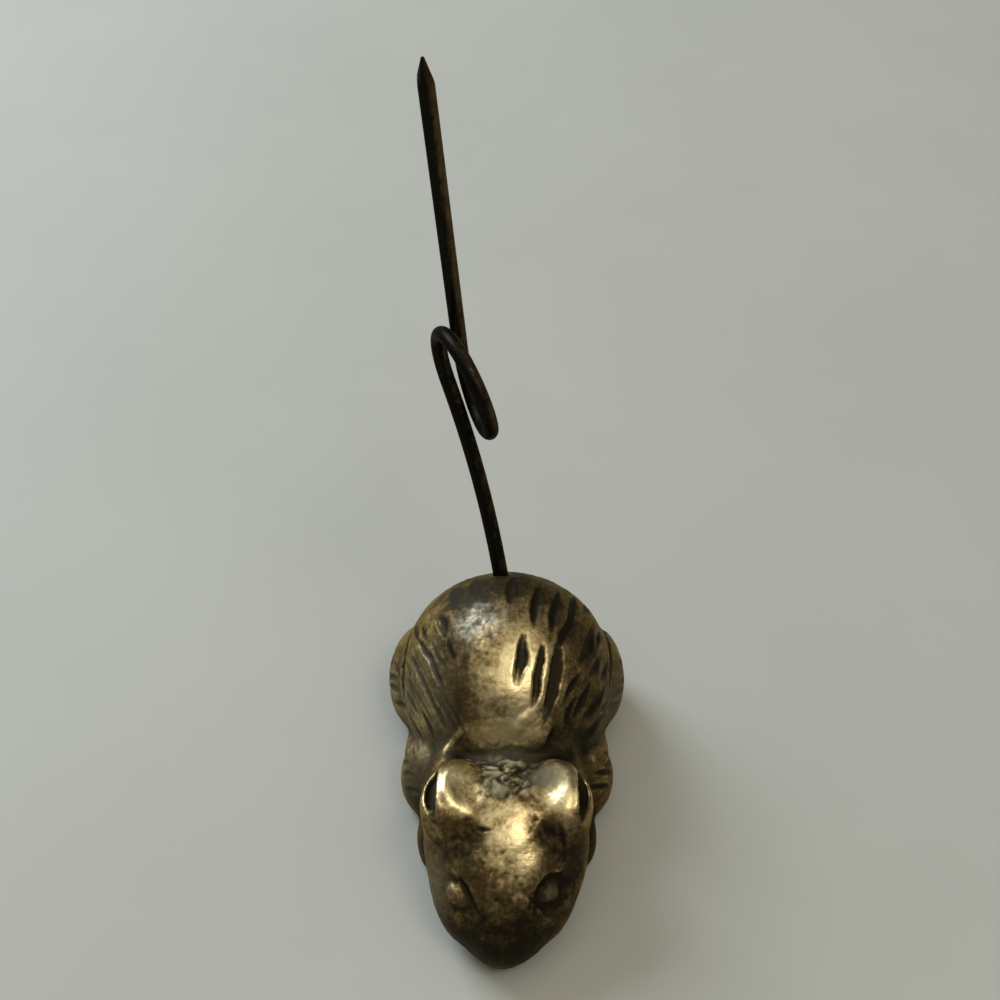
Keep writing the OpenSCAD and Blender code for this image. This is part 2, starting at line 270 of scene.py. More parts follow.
# Parts of the skin that the noise acts on: (middle, reach, amount)
NECK_PATCH = [
    ((0, -6.6, 18.8), (8, 2.8, 4), 1),
    ((0.2, -9.8, 20.3), (5.2, 5.2, 4), 1.2),
    ((4.6, -0.8, 21.5), (2.6, 2.8, 3), 0.5),
    ((-1, -2.2, 20), (7, 2, 3), 0.3),
    ((0, -4.4, 17.6), (6.5, 2.4, 3), 0.4),
]
WHOLE_HEAD = [((0, -20, 16), (13, 12, 12), 1)]
BACK_PANEL = [((-2.5, 3, 26), (5, 9, 7), 1)]
EAR_PADS = [
    ((-6.5, -12, 21), (5, 6, 5), 1),
    ((6.5, -12, 21), (5, 6, 5), 1),
]

# Areas of the skin: (middle, reach, how much darker). Besides patina and rubbed brass, some entries
# paint light: shade on the muzzle and beside the front feet, highlights on the forehead and the back
# panel.
AGE_AND_LIGHT_AREAS = [
    # Muzzle and jaw; the first entry is painted shade, the muzzle darkened as if it reflected the dark
    # room on the camera's side
    ((-0.7, -31, 7), (10, 8, 9), 0.6),
    ((0, -25, 13), (9, 5, 7), 0.18),
    ((-1.5, -27, 12.5), (2, 2, 2.5), -0.2),
    ((1.9, -25.6, 14), (1.6, 2.4, 2.5), -0.2),
    ((-8.5, -26, 5), (4.5, 7, 5), 0.35),
    ((8.5, -26, 5), (4.5, 7, 5), 0.3),
    # Eyes and cheeks
    ((8, -23, 12), (5, 7, 7), 0.2),
    ((6.6, -24.4, 12.5), (3.4, 3.4, 3.6), 0.15),
    ((-10, -22, 10), (5, 9, 8), 0.12),
    ((10, -20, 12), (4, 5, 6), 0.15),
    ((9.5, -18.8, 14.5), (4, 4.5, 5), 0.18),
    # Forehead: rubbed brass, partly a painted highlight where the ceiling lamp's reflection falls
    ((-0.5, -21, 17.5), (5.5, 3.5, 4), -0.15),
    ((2.6, -23, 15.8), (3, 3, 3), -0.15),
    ((-0.4, -16.5, 20), (5, 5, 6), -0.34),
    ((1, -20.5, 17), (4.2, 4.8, 5), -0.34),
    # Before the ears
    ((9, -17, 17), (3.5, 4, 4), 0.16),
    ((6, -18, 18.5), (2.6, 2.6, 3), 0.1),
    ((-6, -18.5, 18), (4, 4.5, 5), 0.14),
    ((-9, -16.5, 19), (3, 2, 3), 0.15),
    # Ears and their pads
    ((-9.6, -12, 20.5), (1.8, 4, 2.5), 0.12),
    ((-4.5, -10.5, 21), (2.5, 3, 3), 0.15),
    ((6.5, -10.2, 21.2), (3.5, 3.2, 3), 0.2),
    ((7.6, -14, 20.8), (2.8, 2.2, 3), -0.25),
    ((-11.5, -13, 18), (2, 5, 4), 0.1),
    ((-7, -11.5, 21), (4.5, 6, 4), -0.46),
    ((6.8, -12.5, 21), (4, 4, 4), -0.38),
    # Between and behind the ears
    ((0, -12.5, 21), (4, 4, 3), 0.16),
    ((4.2, -9, 20.8), (3, 3.5, 3), 0.45),
    ((-6, -8.5, 20), (4, 2, 3), 0.2),
    # Valley of the neck
    ((0, -4.8, 18), (8, 2.6, 3), 0.2),
    ((8.5, -4, 17), (4, 3, 3), 0.3),
    ((-7.2, -4.6, 17), (2.6, 2.2, 2.6), 0.15),
    ((7.5, -4.4, 17), (3.5, 2.4, 2.6), 0.2),
    ((-7, -4.4, 17), (2.4, 2, 2.4), 0.25),
    ((6.2, -4.3, 17), (2.8, 2.2, 2.4), 0.3),
    # Ledge above the valley
    ((-2, -2, 20), (6, 2.6, 3.5), -0.2),
    ((-0.5, -2.4, 19.8), (7, 2, 3), -0.2),
    ((2.5, -2, 20.5), (4, 2.4, 3), -0.2),
    ((5.5, -1.5, 20), (2.5, 2.5, 3), -0.2),
    ((-3.5, -1.8, 19.5), (5, 2, 3), -0.15),
    ((0.8, -2.4, 20), (3.4, 2, 2.5), -0.2),
    ((2, -1.5, 21), (6, 3.2, 4), -0.34),
    # Beside the neck and the head
    ((9, -1, 17), (6, 5, 7), 0.24),
    ((-9, -2, 14), (4, 4, 5), 0.24),
    ((-11, 0.5, 15.5), (2.5, 2.5, 3), 0.25),
    ((-14.5, -1.5, 11), (3.5, 4, 5), 0.2),
    ((-14.5, -5, 6), (3.5, 4, 5), 0.2),
    ((-14, -8, 9), (4, 8, 8), 0.2),
    ((14, -8, 9), (4, 8, 8), 0.2),
    # Painted shade: the dark gaps beside the front feet, under the head, where its shadow falls
    ((13.5, -13, 3.5), (5, 9, 5), 0.45),
    ((-13.5, -13, 3.5), (5, 9, 5), 0.45),
    # Panel on the back: rubbed brass, partly a painted highlight where the ceiling lamp's reflection
    # falls
    ((2.5, 2, 25.3), (2.4, 2.6, 2.6), -0.3),
    ((-2, 7.2, 28), (3.5, 3.5, 3), 0.1),
    ((-4, 1.2, 24), (3, 3.5, 4), -0.2),
    ((2.8, -0.4, 22.7), (2.4, 2.8, 3), -0.2),
    # Painted highlight: a bright streak beside the strokes, where the ceiling lamp's reflection runs
    ((0.4, 4.5, 27), (1.6, 5, 4), -0.25),
    ((2.5, 4, 27), (5, 9, 7), -0.36),
    ((-2, 5, 28), (4, 9, 7), -0.28),
    # Hump and flanks
    ((-8.5, 13, 26), (4, 7, 5), 0.22),
    ((-4, 14, 28.5), (4, 4, 4), 0.12),
    ((-4, 12.5, 28.5), (6, 5, 4), 0.15),
    ((16, 8, 16), (9, 20, 15), 0.22),
    ((10, 12, 24), (5, 14, 8), 0.1),
    ((-9, 4, 22), (3.5, 7, 5), 0.2),
    # Rump
    ((-5, 18, 26.5), (7, 4, 4), 0.2),
    ((0, 22, 27), (16, 7, 7), 0.36),
    ((0, 28, 15), (20, 10, 14), 0.12),
]

# Areas with a dull film of dust and polish: (middle, reach, amount)
DUSTY_AREAS = [
    ((0, -4.5, 17.5), (7, 3, 4), 0.3),
    ((6, -10.2, 21.2), (3.6, 3.2, 3), 0.75),
    ((-0.5, -2.4, 19.8), (7.5, 2.2, 4), 0.3),
    ((-12, 6, 18), (7, 12, 9), 0.35),
    ((-14, -3, 9), (5, 7, 7), 0.3),
    ((17, 10, 8), (5, 14, 9), 0.35),
    ((-17, 10, 8), (5, 14, 9), 0.35),
    ((-11, -22, 10), (4, 7, 7), 0.4),
]

# Painted reflection: where the brass is painted pale and silvery, standing in for the window's
# reflection on the hump: (middle, reach, amount)
SHEEN_PAINT_AREAS = [
    ((-4, 12.5, 28.5), (5.5, 4.5, 4), 0.34),
]

# Age of the skin: passes that find small and broad hollows, and what each cause adds; steep sides get
# painted shade
FINE_PASSES = 5
BROAD_PASSES = 45
AGE_LEVEL = 0.55
FINE_AGE = 2.0
BROAD_AGE = 0.8
TOOLED_AGE = 0.5
STEEP_SHADE = 0.10
STEEP_FROM = 0.7
MOST_AGE = 1.2

# Height over which the tools fade out towards the flat foot
FOOT_BAND = 1.0

# Noise in the materials: scale, detail, roughness, distortion
DUST_NOISE = (1300.0, 5.0, 0.65)
FLAKE_NOISE = (800.0, 3.0, 0.5, 0.6)
GRAIN_NOISE = (1500.0, 6.0, 0.65)
STREAK_NOISE = (1800.0, 5.0, 0.6)
WIRE_NOISE = (700.0, 5.0, 0.6)
SMUDGE_NOISE = (14.0, 4.0, 0.6)
NOISE_LOW = 0.25
NOISE_HIGH = 0.75

# Stains on the brass: noise, amount
BRASS_STAINS = [
    ((190.0, 3.0, 0.5, 0.3), 0.16),
    ((620.0, 5.0, 0.6, 0.5), 0.15),
    ((1800.0, 5.0, 0.65, 0.0), 0.18),
]

# Ramps: (age or noise, value)
BRASS_ROUGHNESS = [(0.0, 0.32), (0.45, 0.40), (0.75, 0.48), (1.0, 0.56)]
BRASS_METAL = [(0.5, 1.0), (0.8, 0.6), (1.0, 0.25)]
PALE_FLAKES = [(0.36, 0.1), (0.68, 1.0)]
WIRE_ROUGHNESS = [(0.0, 0.42), (1.0, 0.32)]
STREAK_AMOUNT = 0.8
MOTTLE_AMOUNT = 0.7

# The tail's bends, as in the part's source; loop: radius in millimetres, angle and side in degrees
ROOT_TURN = math.radians(19)
ROOT_LEAN = math.radians(-33.5)
ROOT_ROLL = math.radians(-103)
ROOT_LEAD = 2 * MM
BOW_LENGTH = 29 * MM
BOW_ANGLE = math.radians(9)
BOW_SIDE = math.radians(-90)
BOW_STEPS = 10
LOOP_LEAD = 1 * MM
LOOP_BENDS = [(8.1, 90, 102.5), (8.1, 90, 4), (8.3, 90, 3.5), (8.3, 124, 10)]
LOOP_STEP = 5
SHAFT_STEPS = 36
POINT_FLATS = 4

# Where papers rub the wire, with a painted sheen on its right side where the light falls: amounts, then
# the height and rise over which they grow
RUB_LEAST = 0.02
RUB_ROUND = 0.1
RUB_LOW = 0.30
RUB_SHAFT = 0.35
RUB_FROM = 0.05
RUB_RISE = 0.02

# Lamps: name, place, target, width, height, power, colour
LAMPS = [
    ("window", (-0.66, 0.70, 0.70), (0, 0, 0.02), 0.6, 0.6, 12.0, (0.80, 0.90, 1.0)),
    ("ceiling", (0.25, -0.28, 0.72), (0, 0, 0), 0.30, 0.18, 1.1, (1.0, 0.95, 0.84)),
]

# Glow of the room, from straight below to straight above: (share, colour)
ROOM_GLOW = [
    (0.0, (0.08, 0.075, 0.064)),
    (0.5, (0.09, 0.085, 0.072)),
    (0.75, (0.14, 0.132, 0.112)),
    (0.87, (0.40, 0.376, 0.32)),
    (0.95, (0.85, 0.80, 0.68)),
    (1.0, (1.0, 0.94, 0.80)),
]
ROOM_TOP = (0.08, -0.08, 0.99)


class CastingSettings(bpy.types.PropertyGroup):
    """Sizes and colours of the cast mouse."""

    mesh_step: FloatProperty(
        name="Mesh step", description="Edge length of the casting's even mesh",
        default=0.30 * MM, unit="LENGTH", precision=5)
    relax_passes: IntProperty(
        name="Relax passes", description="Smoothing passes over the even mesh", default=5, min=0)
    fur_depth: FloatProperty(
        name="Fur depth", description="Depth of the tooled fur against its drawn depth", default=1.0)
    # The rubbed and patina colours also carry the painted highlights and painted shade
    bright: FloatVectorProperty(
        name="Rubbed brass", description="Brass where hands have rubbed it",
        subtype="COLOR", size=3, default=(0.73, 0.60, 0.33))
    dull: FloatVectorProperty(
        name="Dull brass", description="Brass that has dulled",
        subtype="COLOR", size=3, default=(0.40, 0.31, 0.15))
    brown: FloatVectorProperty(
        name="Browned brass", description="Brass with a thin brown film",
        subtype="COLOR", size=3, default=(0.135, 0.092, 0.038))
    dark: FloatVectorProperty(
        name="Patina", description="Dark patina in the hollows",
        subtype="COLOR", size=3, default=(0.006, 0.0045, 0.002))
    dusty: FloatVectorProperty(
        name="Dust", description="Dull film of dust and old polish",
        subtype="COLOR", size=3, default=(0.165, 0.148, 0.095))
    # Painted reflection: this silvery tone stands in for the window's reflection on the hump
    pale: FloatVectorProperty(
        name="Pale brass", description="Brass rubbed to a silvery tone",
        subtype="COLOR", size=3, default=(0.74, 0.70, 0.57))


class WireSettings(bpy.types.PropertyGroup):
    """Sizes and colours of the wire tail, as in the part's source."""

    wire_d: FloatProperty(
        name="Wire", description="Diameter of the tail wire", default=2.4 * MM, unit="LENGTH")
    hole_depth: FloatProperty(
        name="Root", description="Length of wire inside the mouse", default=12 * MM, unit="LENGTH")
    shaft_l: FloatProperty(
        name="Shaft", description="Length of the upright shaft", default=44.5 * MM, unit="LENGTH")
    point_l: FloatProperty(
        name="Point", description="Length of the nipped point", default=4.0 * MM, unit="LENGTH")
    point_w: FloatProperty(
        name="Blunt end", description="Width of the point's blunt end", default=0.4 * MM, unit="LENGTH")
    sides: IntProperty(
        name="Sides", description="Faces round the wire", default=32, min=8)
    dark: FloatVectorProperty(
        name="Oxide", description="Dark oxide on the wire",
        subtype="COLOR", size=3, default=(0.013, 0.011, 0.008))
    # The rubbed colour also shows the painted sheen on the wire's right side
    rubbed: FloatVectorProperty(
        name="Rubbed wire", description="Dull brass where papers have rubbed the wire",
        subtype="COLOR", size=3, default=(0.20, 0.14, 0.065))


class StageSettings(bpy.types.PropertyGroup):
    """Floor, light and camera."""

    floor: FloatVectorProperty(
        name="Floor", description="Colour of the pale floor",
        subtype="COLOR", size=3, default=(0.415, 0.42, 0.385))
    lens: FloatProperty(
        name="Lens", description="Focal length of the camera in millimetres", default=52.0)
    camera_place: FloatVectorProperty(
        name="Camera", description="Place of the camera",
        subtype="TRANSLATION", size=3, default=(-0.0011, -0.1305, 0.198))
    camera_pitch: FloatProperty(
        name="Pitch", description="Angle of the camera above straight down",
        default=math.radians(45), subtype="ANGLE")


def deselect_all():
    if bpy.context.mode != "OBJECT":
        bpy.ops.object.mode_set(mode="OBJECT")
    bpy.ops.object.select_all(action="DESELECT")


def make_active(obj):
    deselect_all()
    bpy.context.view_layer.objects.active = obj
    obj.select_set(True)


def store(mesh, name, values):
    """Keeps a number for each vertex, for the materials to read."""
    attribute = mesh.attributes.new(name, "FLOAT", "POINT")
    attribute.data.foreach_set("value", values.astype(np.float32))


# Materials

def new_material(name):
    """A material with an empty node tree, its shader and its output."""
    material = bpy.data.materials.new(name)
    material.use_nodes = True
    tree = material.node_tree
    tree.nodes.clear()
    out = tree.nodes.new("ShaderNodeOutputMaterial")
    shader = tree.nodes.new("ShaderNodeBsdfPrincipled")
    tree.links.new(shader.outputs["BSDF"], out.inputs["Surface"])
    return material, tree, shader


def fill(tree, node, inputs):
    """Fills a node's sockets: a value is set, another node's socket is linked."""
    for key, value in inputs.items():
        numbered = key[0] == "_" and key[1:].isdigit()
        socket = node.inputs[int(key[1:])] if numbered else node.inputs[key]
        if isinstance(value, bpy.types.NodeSocket):
            tree.links.new(value, socket)
        else:
            socket.default_value = value


def add_node(tree, kind, settings=None, **inputs):
    """A node with its settings and inputs."""
    node = tree.nodes.new("ShaderNode" + kind)
    for key, value in (settings or {}).items():
        setattr(node, key, value)
    fill(tree, node, inputs)
    return node


def math_node(tree, operation, a, b, c=0.0, clamp=False):
    """The result of a sum on two or three inputs."""
    settings = {"operation": operation, "use_clamp": clamp}
    return add_node(tree, "Math", settings, _0=a, _1=b, _2=c).outputs[0]


def noise_node(tree, where, scale, detail, roughness, distortion=0.0):
    """A field of noise at some coordinates."""
    return add_node(tree, "TexNoise", None, Vector=where, Scale=scale, Detail=detail,
                    Roughness=roughness, Distortion=distortion).outputs["Fac"]


def stored(tree, name):
    """A number that is kept for each vertex."""
    return add_node(tree, "Attribute", {"attribute_name": name}).outputs["Fac"]


def grey(value):
    return (value, value, value)


def scaled(colour, share):
    return [share * c for c in colour]


def ramp_node(tree, factor, stops):
    """A colour ramp whose stops are (place, colour)."""
    node = add_node(tree, "ValToRGB", None, Fac=factor)
    ramp = node.color_ramp
    while len(ramp.elements) < len(stops):
        ramp.elements.new(0.5)
    for element, (place, colour) in zip(ramp.elements, stops):
        element.position = place
        element.color = (*colour, 1.0)
    return node.outputs["Color"]


def grey_ramp(tree, factor, stops):
    """A ramp of plain values whose stops are (place, value)."""
    return ramp_node(tree, factor, [(place, grey(value)) for place, value in stops])


def mixed(tree, share, a, colour):
    """A field mixed with one colour, by a share of that colour."""
    sockets = {"_0": share, "_6": a, "_7": (*colour, 1.0)}
    return add_node(tree, "Mix", {"data_type": "RGBA"}, **sockets).outputs[2]


def aged_brass_with_painted_light(settings):
    """Cast brass: rubbed bright on its high places, browned, dark in its hollows, with painted
    highlights, painted shade and a painted silvery reflection.
    """
    material, tree, shader = new_material("aged_cast_brass_with_painted_light")
    where = add_node(tree, "TexCoord").outputs["Object"]
    age_and_light = stored(tree, "patina_and_painted_light")
    for field, amount in BRASS_STAINS:
        spread = {"From Min": NOISE_LOW, "From Max": NOISE_HIGH, "To Min": -amount, "To Max": amount}
        stain = noise_node(tree, where, *field)
        shift = add_node(tree, "MapRange", {"clamp": False}, Value=stain, **spread)
        age_and_light = math_node(tree, "ADD", age_and_light, shift.outputs["Result"])
    age_and_light = math_node(tree, "MAXIMUM", math_node(tree, "MINIMUM", age_and_light, 1.0), 0.0)
    # The ramp shows patina and rubbed brass, and also the painted shade and painted highlights put into
    # the age
    colour = ramp_node(tree, age_and_light, [
        (0.0, settings.bright), (0.32, settings.dull), (0.58, settings.brown),
        (0.80, scaled(settings.brown, 0.30)), (1.0, settings.dark)])
    rough = grey_ramp(tree, age_and_light, BRASS_ROUGHNESS)
    metal = grey_ramp(tree, age_and_light, BRASS_METAL)
    specks = math_node(tree, "ADD", noise_node(tree, where, *DUST_NOISE), 0.5)
    film = math_node(tree, "MULTIPLY", stored(tree, "dust"), specks, clamp=True)
    # Painted reflection: pale silvery flakes where the window's reflection falls on the hump
    flakes = grey_ramp(tree, noise_node(tree, where, *FLAKE_NOISE), PALE_FLAKES)
    painted_sheen = math_node(tree, "MULTIPLY", stored(tree, "pale"), flakes, clamp=True)
    colour = mixed(tree, painted_sheen, colour, settings.pale)
    colour = mixed(tree, film, colour, settings.dusty)
    rough = mixed(tree, film, rough, grey(0.75))
    metal = mixed(tree, film, metal, grey(0.0))
    grain = noise_node(tree, where, *GRAIN_NOISE)
    bump = add_node(tree, "Bump", None, Strength=0.3, Distance=0.0002, Height=grain)
    fill(tree, shader, {
        "Base Color": colour, "Roughness": rough, "Metallic": metal,
        "Specular IOR Level": 0.25, "Specular Tint": (1.0, 0.82, 0.5, 1.0),
        "Normal": bump.outputs["Normal"]})
    return material


def oxidised_wire_with_sheen(settings):
    """Dark brass wire with drawn streaks, rubbed along its length, with a painted sheen on its right
    side.
    """
    material, tree, shader = new_material("oxidised_wire_with_sheen")
    where = add_node(tree, "TexCoord").outputs["Object"]
    squeezed = add_node(tree, "Mapping", None, Vector=where, Scale=(1.0, 1.0, 0.12))
    streak = noise_node(tree, squeezed.outputs["Vector"], *STREAK_NOISE)
    mottle = noise_node(tree, where, *WIRE_NOISE)
    age_and_light = math_node(tree, "MULTIPLY_ADD", streak, STREAK_AMOUNT, -STREAK_AMOUNT / 2)
    age_and_light = math_node(tree, "ADD", age_and_light, stored(tree, "rub_and_sheen"))
    shift = math_node(tree, "MULTIPLY_ADD", mottle, MOTTLE_AMOUNT, -MOTTLE_AMOUNT / 2)
    age_and_light = math_node(tree, "ADD", age_and_light, shift, clamp=True)
    colour = ramp_node(tree, age_and_light, [
        (0.15, settings.dark), (0.6, scaled(settings.rubbed, 0.5)), (0.95, settings.rubbed)])
    rough = grey_ramp(tree, age_and_light, WIRE_ROUGHNESS)
    bump = add_node(tree, "Bump", None, Strength=0.2, Distance=0.0001, Height=streak)
    fill(tree, shader, {
        "Base Color": colour, "Roughness": rough, "Metallic": 0.85,
        "Specular IOR Level": 0.2, "Specular Tint": (0.35, 0.33, 0.30, 1.0),
        "Normal": bump.outputs["Normal"]})
    return material


def pale_board(settings):
    """The pale floor, with faint smudges."""
    material, tree, shader = new_material("pale_board")
    where = add_node(tree, "TexCoord").outputs["Object"]
    smudge = noise_node(tree, where, *SMUDGE_NOISE)
    colour = ramp_node(tree, smudge, [
        (0.3, scaled(settings.floor, 0.97)), (0.7, scaled(settings.floor, 1.03))])
    fill(tree, shader, {"Base Color": colour, "Roughness": 0.6, "Specular IOR Level": 0.3})
    return material


# The casting

class Clay:
    """The casting's vertices in millimetres, with tools that press and raise them."""

    def __init__(self, mesh):
        count = len(mesh.vertices)
        flat = np.zeros(count * 3, np.float32)
        mesh.vertices.foreach_get("co", flat)
        self.co = flat.reshape(-1, 3).astype(float) / MM
        mesh.vertex_normals.foreach_get("vector", flat)
        self.normal = flat.reshape(-1, 3).astype(float)
        pairs = np.zeros(len(mesh.edges) * 2, np.int32)
        mesh.edges.foreach_get("vertices", pairs)
        self.edges = pairs.reshape(-1, 2)
        self.tree = BVHTree.FromPolygons(self.co.tolist(), [list(p.vertices) for p in mesh.polygons])
        self.press = np.zeros(count)
        self.rise = np.zeros(count)
        self.age_and_light = np.zeros(count)
        self.dust = np.zeros(count)
        self.grit = self.rough(*GROOVE_GRIT)

    def touch(self, inner, heading):
        """The outermost place on the skin along a heading from an inner point."""
        heading = Vector(heading).normalized()
        found = self.tree.ray_cast(Vector(inner) + OUTSIDE * heading, -heading)[0]
        if found is None:
            raise RuntimeError(f"no skin along {heading} from {inner}")
        return np.array(found)

    def on_top(self, x, y):
        """The highest place on the skin above a point of the table."""
        return self.touch((x, y, 0), (0, 0, 1))

    def on_back(self, along, angle):
        """A place on the back: along the spine, then down over the rump, and round by an angle."""
        a = math.radians(angle)
        b = max(0.0, along - RUMP_Y) / RUMP_REACH
        heading = (math.sin(a), math.cos(a) * math.sin(b), math.cos(a) * math.cos(b))
        return self.touch((0, min(along, RUMP_Y), SPINE_Z), heading)

    def along_path(self, path, reach):
        """Vertices near a path: their distance from it, its sign, and how far along they are."""
        path = np.array(path)
        near = np.all((self.co > path.min(0) - reach) & (self.co < path.max(0) + reach), axis=1)
        near = np.flatnonzero(near)
        points = self.co[near]
        best = np.full(len(near), np.inf)
        place = np.zeros(len(near))
        side = np.ones(len(near))
        lengths = np.linalg.norm(np.diff(path, axis=0), axis=1)
        starts = np.concatenate([[0], np.cumsum(lengths)])
        for start, a, b, length in zip(starts, path, path[1:], lengths):
            t = np.clip(((points - a) @ (b - a)) / max(length ** 2, 1e-9), 0, 1)
            apart = points - a - t[:, None] * (b - a)
            gap = np.linalg.norm(apart, axis=1)
            closer = gap < best
            best[closer] = gap[closer]
            place[closer] = start + t[closer] * length
            across = np.cross(b - a, self.normal[near[closer]])
            side[closer] = np.sign(np.einsum("ij,ij->i", apart[closer], across))
        return near, best, side, place, starts[-1]

    def groove(self, path, width, depth, lip=0.2, skew=0.0, stain=1.0, flat=0.0, blur=0.6, dust=0.0):
        """Presses a tapered groove, steeper on one side, and raises a lip along that side."""
        near, gap, side, place, length = self.along_path(path, 2 * width)
        end = np.minimum(place, length - place)
        taper = np.clip(end / (TAPER_LENGTH * width), TAPER_LEAST, 1) ** TAPER_POWER
        half = 0.5 * width * (TIP_WIDTH + (1 - TIP_WIDTH) * taper) * (1 - skew * side)
        q = gap * (1 + WANDER * self.grit[near]) / half
        wall = 1 + SOFT_SIDE * (side < 0)
        cut = depth * taper * np.clip((1 - q ** 2) / (1 - flat), 0, 1) ** wall
        self.press[near] = np.maximum(self.press[near], cut)
        edge = np.clip(1 - np.abs(q - LIP_PLACE) / LIP_REACH, 0, 1) * np.where(side > 0, 1, FAR_LIP)
        self.rise[near] += lip * depth * taper * edge
        dark = np.clip((1 + blur - q) / (STAIN_FADE + blur), 0, 1)
        dark *= TIP_STAIN + (1 - TIP_STAIN) * taper
        self.age_and_light[near] = np.maximum(self.age_and_light[near], stain * dark)
        self.dust[near] = np.maximum(self.dust[near], dust * np.clip(1.6 - 2 * q, 0, 1))

    def socket(self, centre, long_way, half_l, half_w, depth, height, stain, dust, ragged=0.25):
        """Presses an oval socket, with a dome of some height in it."""
        found, out, _, _ = self.tree.find_nearest(Vector(centre))
        long_side = Vector((math.cos(long_way), math.sin(long_way), 0.0))
        long_side = (long_side - out * long_side.dot(out)).normalized()
        off = self.co - np.array(found)
        short_side = out.cross(long_side)
        q = np.hypot(off @ np.array(long_side) / half_l, off @ np.array(short_side) / half_w)
        q *= 1 + ragged * self.grit
        q[np.abs(off @ np.array(out)) > SOCKET_BAND] = np.inf
        dome = np.clip(1 - (q / DOME_SHARE) ** 2, 0, 1)
        self.press += depth * np.clip((SOCKET_EDGE - q) / SOCKET_SLOPE, 0, 1)
        self.press -= height * dome ** DOME_POWER
        dark = np.clip((SOCKET_STAIN - q) / SOCKET_SLOPE, 0, 1)
        self.age_and_light += stain * dark * (1 - DOME_CLEAN * dome)
        self.dust = np.maximum(self.dust, dust * np.clip(2 * dome, 0, 1))

    def shade(self, path, reach, amount):
        """Paints shade on the skin on the left of a path, most beside it."""
        near, gap, side, place, length = self.along_path(path, reach)
        end = np.clip(np.minimum(place, length - place) / reach, 0, 1)
        left = np.clip(0.5 + side * gap / SHADE_EDGE, 0, 1)
        self.age_and_light[near] += amount * end * np.clip(1 - gap / reach, 0, 1) * left

    def ridge(self, path, width, height, painted_shine=0.0):
        """Raises a thin crest with tapered ends, and paints a highlight along it."""
        near, gap, _, place, length = self.along_path(path, width)
        end = np.minimum(place, length - place)
        crest = np.clip(end / width, 0, 1) * np.clip(1 - (2 * gap / width) ** 2, 0, 1)
        self.rise[near] += height * crest
        self.age_and_light[near] -= painted_shine * crest

    def swell(self, centre, reach, height):
        """Raises a soft mound, or presses a soft dish where the height is negative."""
        self.rise += height * self.share(centre, reach) ** 2

    def share(self, centre, reach):
        """How much each vertex belongs to a soft round area."""
        q = np.linalg.norm((self.co - np.array(centre)) / np.array(reach), axis=1)
        return np.clip(1 - q ** 2, 0, 1)

    def areas(self, areas):
        """The amounts of some soft round areas at each vertex."""
        return sum(amount * self.share(centre, reach) for centre, reach, amount in areas)

    def relaxed(self, co, passes):
        """The vertices after some passes of averaging with their neighbours."""
        a, b = self.edges.T
        count = np.bincount(self.edges.ravel(), minlength=len(co))[:, None]
        for _ in range(passes):
            sums = [np.bincount(a, c[b], len(co)) + np.bincount(b, c[a], len(co)) for c in co.T]
            co = 0.5 * co + 0.5 * np.stack(sums, 1) / count
        return co

    def rough(self, size, seed):
        """Smooth noise at each vertex, about -1 to 1, with features of a size in millimetres."""
        shift = Vector((seed, seed * 1.7, seed * 2.3))
        return np.array([noise.noise(Vector(p) / size + shift) for p in self.co.tolist()])

    def grain(self, fields):
        """Some fields of noise at each vertex, by their amounts."""
        return sum(amount * self.rough(size, seed) for size, seed, amount in fields)


def combed(clay, places, draw, stretch=1.0):
    """Points on the back along one fur stroke, bowed a little by hand."""
    bow = draw.uniform(-STROKE_BOW, STROKE_BOW)
    middle = np.mean(places, axis=0)
    places = [middle + stretch * (np.array(place) - middle) for place in places]
    points = []
    for (s0, a0), (s1, a1) in zip(places, places[1:]):
        count = max(3, round((abs(s1 - s0) + MM_PER_DEGREE * abs(a1 - a0)) / STROKE_STEP))
        for i in range(count):
            t = i / count
            angle = a0 + (a1 - a0) * t + bow * math.sin(math.pi * t)
            points.append(clay.on_back(s0 + (s1 - s0) * t, angle))
    points.append(clay.on_back(*places[-1]))
    return points


def tool_back(clay, draw, depth_share):
    """The strokes that show on the back and both flanks, and the creases over the haunches."""
    for places, width, depth in FUR_FRONT:
        stroke = combed(clay, places, draw, FRONT_STRETCH)
        skew = draw.uniform(*FRONT_SKEW)
        clay.groove(stroke, FRONT_WIDTH * width, depth * depth_share, skew=skew, **FRONT_CUT)
    for places, width, depth in FUR_RIGHT:
        stroke = combed(clay, places, draw, RIGHT_STRETCH)
        skew = draw.uniform(*RIGHT_SKEW)
        clay.groove(stroke, width, RIGHT_DEPTH * depth * depth_share, skew=skew, **RIGHT_CUT)
    for places, width, depth in FUR_LEFT:
        stroke = combed(clay, places, draw, LEFT_STRETCH)
        clay.groove(stroke, LEFT_WIDTH * width, depth * depth_share, **LEFT_CUT)
    for places in HAUNCH_CREASES:
        clay.groove(combed(clay, places, draw), **CREASE_CUT)


